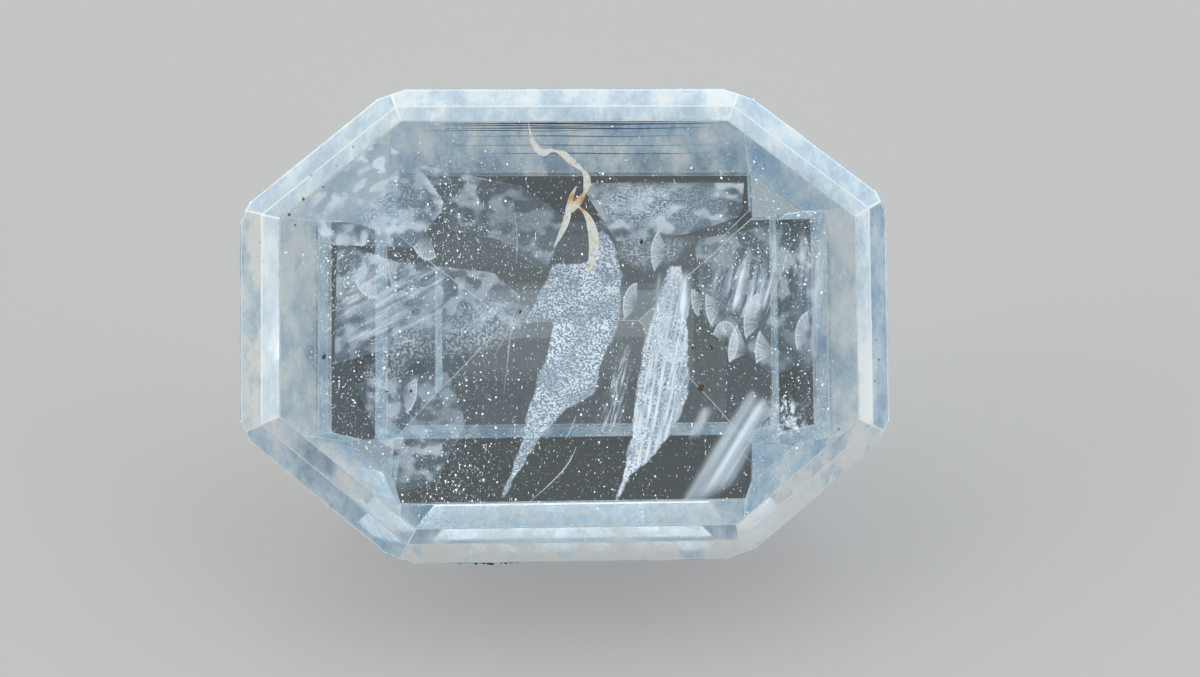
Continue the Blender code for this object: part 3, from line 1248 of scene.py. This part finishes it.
# %% Pinpoints
PINPOINT_COUNT = 5200
PINPOINT_RADIUS = (0.003, 0.011)  # mm
SPARK_COUNT = 170
SPARK_RADIUS = (0.011, 0.020)  # mm
HIGHEST_DEPTH = 0.35  # mm below the table of the highest pinpoint
DEPTH_LEFT_OUT = 0.6  # mm of the stone's depth that hold no pinpoint, above and below together
GIRDLE_REACH = (6.0, 4.4)  # mm from the middle of the stone to its ends and to its sides
PINPOINT_FIELD = (5.7, 4.2)  # mm to the right and up that a pinpoint may be
RIM_CLEAR = 0.35  # mm from the girdle that stay free of pinpoints
SWARMS = (
    # right, up, spread in mm, share of all pinpoints
    (-2.3, 2.0, 0.55, 0.10),
    (-1.3, 0.9, 0.70, 0.10),
    (-3.6, 0.9, 0.60, 0.08),
    (0.2, 0.2, 0.60, 0.08),
    (3.1, 1.3, 0.50, 0.07),
    (1.1, -1.0, 0.45, 0.06),
    (4.3, -1.7, 0.45, 0.05),
    (-2.3, -2.4, 0.70, 0.06),
)


def plain_finish(name, colour, roughness, painted_glow=0.0, speckle=0.25):
    """An opaque finish whose colour is darkened in small specks. A glow adds painted light."""
    material, tree, shader = new_material(name)
    link = tree.links.new
    shader.inputs["Roughness"].default_value = roughness
    place = place_group(tree, STONE_PLACE)
    specks = add(tree, "ShaderNodeTexNoise", {"Scale": 14.0, "Detail": 3.0})
    link(place.outputs["Place"], specks.inputs["Vector"])
    tone = add(tree, "ShaderNodeMix", data_type="RGBA")
    tone.inputs[6].default_value = colour
    darker = tuple(value * (1.0 - speckle) for value in colour[:3])
    tone.inputs[7].default_value = darker + (1.0,)
    link(specks.outputs["Fac"], tone.inputs[0])
    link(tone.outputs[2], shader.inputs["Base Color"])
    # Painted light: with a glow, the finish also glows in its own colour, though it is no lamp.
    if painted_glow:
        link(tone.outputs[2], shader.inputs["Emission Color"])
        shader.inputs["Emission Strength"].default_value = painted_glow
    return material


def small_crystal(name):
    """A four-sided crystal with pointed ends, about 1 m in radius, at the origin."""
    deselect()
    bpy.ops.mesh.primitive_uv_sphere_add(segments=4, ring_count=3, radius=1.0, location=(0, 0, 0))
    crystal = bpy.context.object
    crystal.name = name
    bpy.ops.object.mode_set(mode="EDIT")
    bpy.ops.mesh.select_all(action="SELECT")
    bpy.ops.transform.resize(value=(1.0, 0.8, 1.3))
    bpy.ops.object.mode_set(mode="OBJECT")
    return crystal


def scatter(name, model, places, material):
    """One mesh of copies of model, one for each matrix in places. The model is removed."""
    corners = [vertex.co.copy() for vertex in model.data.vertices]
    sides = [tuple(face.vertices) for face in model.data.polygons]
    bpy.data.objects.remove(model)
    points = []
    faces = []
    for matrix in places:
        first = len(points)
        points.extend(matrix @ corner for corner in corners)
        faces.extend(tuple(first + number for number in side) for side in sides)
    mesh = bpy.data.meshes.new(name)
    mesh.from_pydata(points, [], faces)
    mesh.materials.append(material)
    piece = bpy.data.objects.new(name, mesh)
    bpy.context.scene.collection.objects.link(piece)
    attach(piece, "root")
    print(name, "has", len(places), "copies and", len(mesh.polygons), "faces")


def rim_distance(right, up):
    """How far inside the girdle a point of the table is, in mm. The finish has the same rule."""
    slant = abs(right) * math.cos(CORNER_FACING) + abs(up) * math.sin(CORNER_FACING)
    from_end = GIRDLE_REACH[0] - abs(right)
    from_side = GIRDLE_REACH[1] - abs(up)
    return min(from_end, from_side, CORNER_REACH - slant)


def random_place(dice):
    """A point of the table for a pinpoint: in a swarm, or anywhere."""
    while True:
        pick = dice.random()
        right, up = [dice.uniform(-reach, reach) for reach in PINPOINT_FIELD]
        for swarm_right, swarm_up, spread, share in SWARMS:
            if pick < share:
                right, up = dice.gauss(swarm_right, spread), dice.gauss(swarm_up, spread)
                break
            pick -= share
        if rim_distance(right, up) > RIM_CLEAR:
            return right, up


def random_depth(dice, right, up):
    """A depth in mm for a pinpoint, between the crown and the pavilion."""
    return HIGHEST_DEPTH + (depth_under(right, up) - DEPTH_LEFT_OUT) * dice.random()


def build_pinpoints():
    dice = random.Random(7)
    places = []
    for _ in range(PINPOINT_COUNT):
        right, up = random_place(dice)
        depth = random_depth(dice, right, up)
        smallest, largest = PINPOINT_RADIUS
        radius = smallest + (largest - smallest) * dice.random() ** 3
        turn = Matrix.Rotation(dice.uniform(0, math.pi), 4, "X")
        turn = turn @ Matrix.Rotation(dice.uniform(0, math.pi), 4, "Z")
        stretch = Matrix.Diagonal((1.0, 1.0, dice.choice((1.0, 1.0, 2.5)), 1.0))
        size = Matrix.Scale(radius * MM, 4)
        places.append(Matrix.Translation(inside(right, up, depth)) @ turn @ stretch @ size)
    # Painted light: the pinpoints glow a little.
    white = plain_finish("pinpoint_white", (0.97, 0.98, 1.0, 1.0), 0.3, painted_glow=0.7, speckle=0.1)
    scatter("pinpoints", small_crystal("pinpoint"), places, white)
    places = []
    for _ in range(SPARK_COUNT):
        right, up = random_place(dice)
        depth = random_depth(dice, right, up)
        turn = Matrix.Rotation(dice.uniform(0, math.pi), 4, "X")
        size = Matrix.Scale(dice.uniform(*SPARK_RADIUS) * MM, 4)
        places.append(Matrix.Translation(inside(right, up, depth)) @ turn @ size)
    # Painted glints: the sparks glow strongly.
    bright = plain_finish("spark_white", (0.97, 0.98, 1.0, 1.0), 0.2, painted_glow=1.5, speckle=0.3)
    scatter("sparks", small_crystal("spark"), places, bright)


build_pinpoints()

# %% [markdown]
# Dark grains of dirt cling under the lower edge of the girdle, at the front. They are the
# pinpoint again, larger, set along the edge.

# %% Dirt under the girdle
DIRT_COUNT = 46
DIRT_RUN = (-2.15, -0.80)  # mm along the stone
DIRT_THICKEST = -1.7  # mm along the stone
DIRT_RADIUS = (0.012, 0.034)  # mm
DIRT_SIDE = -4.36  # mm on the table, where the front of the girdle is


def build_dirt():
    dice = random.Random(3)
    places = []
    for _ in range(DIRT_COUNT):
        right = dice.triangular(*DIRT_RUN, DIRT_THICKEST)
        point = inside(right, DIRT_SIDE + dice.uniform(-0.05, 0.01), dice.uniform(0.72, 0.95))
        turn = Matrix.Rotation(dice.uniform(0, math.pi), 4, "Y")
        size = Matrix.Scale(dice.uniform(*DIRT_RADIUS) * MM, 4)
        places.append(Matrix.Translation(point) @ turn @ size)
    dark = plain_finish("dirt", (0.07, 0.065, 0.06, 1.0), 0.9, speckle=0.7)
    scatter("dirt_grains", small_crystal("dirt_grain"), places, dark)


build_dirt()

# %% [markdown]
# Where a crystal sat right at the surface, polishing tore it out and left a pit that holds dark
# grime. A ray sent down at the crown finds the facet, and the pit goes just under it.

# %% Pits in the crown
PITS = (
    # right and up in mm on the table, radius in mm
    (-5.07, 2.05, 0.030), (-4.68, 2.78, 0.026), (-4.44, 2.56, 0.022), (-4.81, 2.34, 0.028),
    (-4.96, 1.86, 0.020), (-5.62, 1.55, 0.018), (-5.55, 1.20, 0.016), (-4.20, 2.95, 0.018),
    (5.75, -0.26, 0.020), (5.80, -0.62, 0.026), (5.72, -1.02, 0.022), (5.60, 0.30, 0.014),
    (-3.90, 3.30, 0.020), (5.05, -1.90, 0.018),
)
PIT_DEPTH = 0.02  # mm under the facet


def build_pits():
    places = []
    for number, (right, up, radius) in enumerate(PITS):
        above = inside(right, up, -1.0)
        under = FACETS.ray_cast(above, -OUT)[3] / MM - 1.0 + PIT_DEPTH
        turn = Matrix.Rotation(0.7 * number, 4, "X")
        size = Matrix.Scale(radius * MM, 4)
        places.append(Matrix.Translation(inside(right, up, under)) @ turn @ size)
    grime = plain_finish("pit_grime", (0.16, 0.18, 0.20, 1.0), 0.8, speckle=0.6)
    scatter("pits", small_crystal("pit"), places, grime)


build_pits()

# %% [markdown]
# A few larger crystals have colour of their own: two brown grains low on the right, a rusty one
# by the left end, and some nearly black specks.

# %% Coloured crystals
CRYSTALS = {
    # name: (right, up, depth, radius in mm, colour)
    "brown_crystal": (2.53, -1.14, 1.2, 0.085, (0.30, 0.20, 0.11, 1.0)),
    "brown_crystal_neighbour": (2.66, -1.05, 1.3, 0.055, (0.55, 0.44, 0.32, 1.0)),
    "rusty_crystal": (-4.45, -0.57, 0.9, 0.045, (0.40, 0.10, 0.03, 1.0)),
    "dark_speck_left": (-2.84, -1.20, 0.9, 0.030, (0.05, 0.05, 0.06, 1.0)),
    "dark_speck_low": (-3.29, -1.21, 1.0, 0.022, (0.06, 0.06, 0.07, 1.0)),
    "dark_speck_middle": (-0.82, 0.26, 0.8, 0.030, (0.04, 0.04, 0.05, 1.0)),
    "dark_speck_back": (1.42, 1.55, 0.8, 0.040, (0.03, 0.04, 0.08, 1.0)),
}


def build_crystals():
    for number, (name, (right, up, depth, radius, colour)) in enumerate(CRYSTALS.items()):
        deselect()
        bpy.ops.mesh.primitive_ico_sphere_add(subdivisions=1, radius=radius * MM, location=(0, 0, 0))
        crystal = bpy.context.object
        crystal.name = name
        bpy.ops.object.mode_set(mode="EDIT")
        bpy.ops.mesh.select_all(action="SELECT")
        bpy.ops.transform.resize(value=(1.0, 0.75, 1.25))
        bpy.ops.mesh.bevel(offset=radius * MM * 0.12, segments=1)
        bpy.ops.object.mode_set(mode="OBJECT")
        turn = Matrix.Rotation(0.7 + number, 4, "Z") @ Matrix.Rotation(0.5 * number, 4, "X")
        crystal.data.transform(Matrix.Translation(inside(right, up, depth)) @ turn)
        crystal.data.materials.append(plain_finish(name, colour, 0.35, speckle=0.6))
        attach(crystal, "root")


build_crystals()

# %% [markdown]
# Fine curved cracks catch the light as bright hairlines, and straight growth lines run along the
# back of the stone just under the crown. Both are the ribbon again, very narrow.

# %% Hairlines and growth lines
HAIRLINES = (
    # (right, up, depth, width share, twist in degrees), in mm from the table's middle
    [(0.21, -1.67, 1.4, 0.3, 0), (0.13, -1.88, 1.4, 1.0, 0), (0.01, -2.10, 1.4, 0.2, 0)],
    [
        (0.21, -2.25, 1.3, 0.2, 0), (0.08, -2.52, 1.3, 1.0, 0), (-0.25, -2.90, 1.3, 0.7, 0),
        (-0.71, -3.30, 1.3, 0.2, 0),
    ],
    [(-0.95, 0.32, 1.2, 0.2, 0), (-1.02, -0.30, 1.2, 0.7, 0), (-1.13, -1.27, 1.2, 0.2, 0)],
    [(-0.84, 0.50, 1.2, 0.2, 0), (-0.98, 0.10, 1.2, 0.6, 0), (-1.30, -0.55, 1.2, 0.2, 0)],
    [(-0.90, 1.15, 1.1, 0.2, 0), (-0.88, 1.60, 1.1, 0.6, 0), (-0.93, 2.10, 1.1, 0.2, 0)],
    [(4.20, 1.55, 0.9, 0.2, 0), (3.98, 0.95, 0.9, 0.8, 0), (3.72, 0.20, 0.9, 0.2, 0)],
    [(3.44, 1.38, 1.0, 0.2, 0), (3.22, 1.05, 1.0, 0.8, 0), (3.02, 0.62, 1.0, 0.2, 0)],
    [(-3.30, 1.30, 1.0, 0.3, 0), (-3.18, 0.75, 1.0, 1.3, 0), (-3.02, 0.35, 1.0, 0.3, 0)],
)
HAIRLINE_WIDTH = 0.016 * MM
GROWTH_LINE_DEPTH = 0.55  # mm
LINE_THICKNESS = 0.5  # share of a line's width
GROWTH_LINES = (
    # first and last place along the stone, height on the table, width in mm
    (-2.55, 3.20, 3.775, 0.012),
    (-2.30, 2.95, 3.730, 0.020),
    (-2.45, 1.20, 3.690, 0.012),
    (-2.20, 2.60, 3.645, 0.016),
    (-2.60, 0.60, 3.600, 0.010),
    (-1.90, 2.20, 3.500, 0.010),
    (-2.20, 2.75, 3.330, 0.008),
    (-1.60, 2.75, 3.180, 0.010),
)


def build_lines():
    # Painted light: the hairlines glow a little, for the light that the cracks catch.
    bright = plain_finish("hairline_white", (0.95, 0.97, 1.0, 1.0), 0.3, painted_glow=0.4)
    blue = plain_finish("growth_line_blue", (0.10, 0.20, 0.34, 1.0), 0.5, speckle=0.4)
    for number, points in enumerate(HAIRLINES, start=1):
        ribbon(f"hairline_{number}", points, HAIRLINE_WIDTH, bright, thickness=LINE_THICKNESS)
    for number, (start, end, up, width) in enumerate(GROWTH_LINES, start=1):
        points = [
            (start, up, GROWTH_LINE_DEPTH, 0.2, 0),
            (start * 0.6 + end * 0.4, up + 0.01, GROWTH_LINE_DEPTH, 1.0, 0),
            (start * 0.3 + end * 0.7, up, GROWTH_LINE_DEPTH, 0.8, 0),
            (end, up + 0.02, GROWTH_LINE_DEPTH, 0.2, 0),
        ]
        ribbon(f"growth_line_{number}", points, width * MM, blue, thickness=LINE_THICKNESS)


build_lines()
